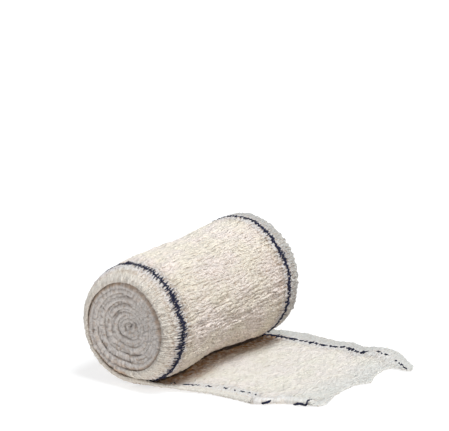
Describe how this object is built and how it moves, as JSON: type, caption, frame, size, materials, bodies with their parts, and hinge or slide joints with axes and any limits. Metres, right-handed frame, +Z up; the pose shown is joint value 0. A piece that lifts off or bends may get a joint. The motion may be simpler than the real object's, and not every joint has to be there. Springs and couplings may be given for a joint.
{
  "type": "crepe bandage roll",
  "caption": "Wound roll of stretchy crepe cotton bandage lying on its side, woven blue stripe along both edges, with a short loose end laid out flat and unevenly cut.",
  "frame": {"origin": "on the floor, straight under the middle of the roll's axis, on the flat underside of the strip", "axes": "+Y along the roll from its near end to its far end, +X the way the loose end runs out, +Z up"},
  "size_m": [0.0945, 0.0878, 0.0474],
  "materials": {
    "crepe_cotton": "matt unbleached crepe weave",
    "stripe_thread": "matt dyed thread"
  },
  "bodies": {
    "root": {"crepe_bandage": "crepe_cotton"}
  },
  "joints": []
}
